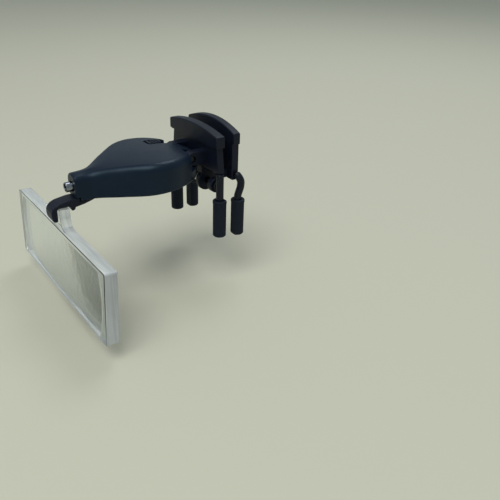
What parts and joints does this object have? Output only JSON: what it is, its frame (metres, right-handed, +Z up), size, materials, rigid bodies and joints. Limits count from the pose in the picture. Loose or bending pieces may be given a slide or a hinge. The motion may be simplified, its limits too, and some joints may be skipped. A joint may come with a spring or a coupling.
{
  "type": "clip-on flip magnifier",
  "caption": "Clip-on flip magnifier for spectacles: sprung clip with rubber-sleeved prongs, flip-up lamp housing and a wide clear rectangular lens hung from a hook.",
  "frame": {"origin": "in the grip, the point between the four rubber sleeves where a spectacle lens is held", "axes": "+X to the wearer's left along the magnifier's long edge, +Z up, -Y forward, away from the wearer's face"},
  "size_m": [0.075, 0.0674, 0.054],
  "materials": {
    "housing_plastic": "satin moulded",
    "black_plastic": "satin moulded",
    "rubber": "matt",
    "black_metal": "black coated",
    "steel": "bright",
    "chrome": "polished",
    "clear_acrylic": "clear, polished",
    "lamp_resin": "clear, slightly yellow",
    "board_green": "solder mask",
    "red_insulation": "satin",
    "brass": "bright"
  },
  "bodies": {
    "front_jaw": {"front_jaw_plate": "black_plastic", "front_prong_left": "black_metal", "front_prong_right": "black_metal", "front_grip_sleeve_left": "rubber", "front_grip_sleeve_right": "rubber", "clip_pin": "steel", "clip_spring": "steel", "flip_pin": "steel"},
    "rear_jaw": {"rear_jaw_plate": "black_plastic", "rear_prong_left": "black_metal", "rear_prong_right": "black_metal", "rear_grip_sleeve_left": "rubber", "rear_grip_sleeve_right": "rubber"},
    "lamp_housing": {"housing_shell": "housing_plastic", "housing_base": "black_plastic", "case_screw_front": "steel", "case_screw_rear_left": "steel", "case_screw_rear_right": "steel", "lens_carrier": "black_plastic", "led_bezel": "chrome", "led": "lamp_resin", "led_wire_red": "red_insulation", "led_wire_black": "black_plastic", "circuit_board": "board_green", "switch_body": "steel", "coin_cell_lower": "steel", "coin_cell_upper": "steel", "battery_contact_positive": "brass", "battery_contact_negative": "brass"},
    "switch": {"switch_knob": "black_plastic"},
    "lens": {"magnifier_lens": "clear_acrylic"},
    "battery_cover": {"battery_door": "black_plastic", "battery_door_screw": "steel"}
  },
  "joints": [
    {"name": "jaw_squeeze", "type": "hinge", "parent": "front_jaw", "child": "rear_jaw", "pos_m": [0, -0.0021, 0.012], "axis": [1, 0, 0], "range_deg": [-11, 10], "stiffness_Nm_per_rad": 0.06, "deforming": ["clip_spring"]},
    {"name": "housing_flip", "type": "hinge", "parent": "front_jaw", "child": "lamp_housing", "pos_m": [0, -0.0102, 0.0223], "axis": [-1, 0, 0], "range_deg": [0, 90]},
    {"name": "switch_slide", "type": "slide", "parent": "lamp_housing", "child": "switch", "axis": [0, 1, 0], "range_m": [0, 0.002]},
    {"name": "lens_release", "type": "slide", "parent": "lamp_housing", "child": "lens", "axis": [0, -0.0611, -0.9981], "range_m": [0, 0.006]},
    {"name": "battery_door_lift", "type": "slide", "parent": "lamp_housing", "child": "battery_cover", "axis": [0, 0, -1], "range_m": [0, 0.012]}
  ]
}
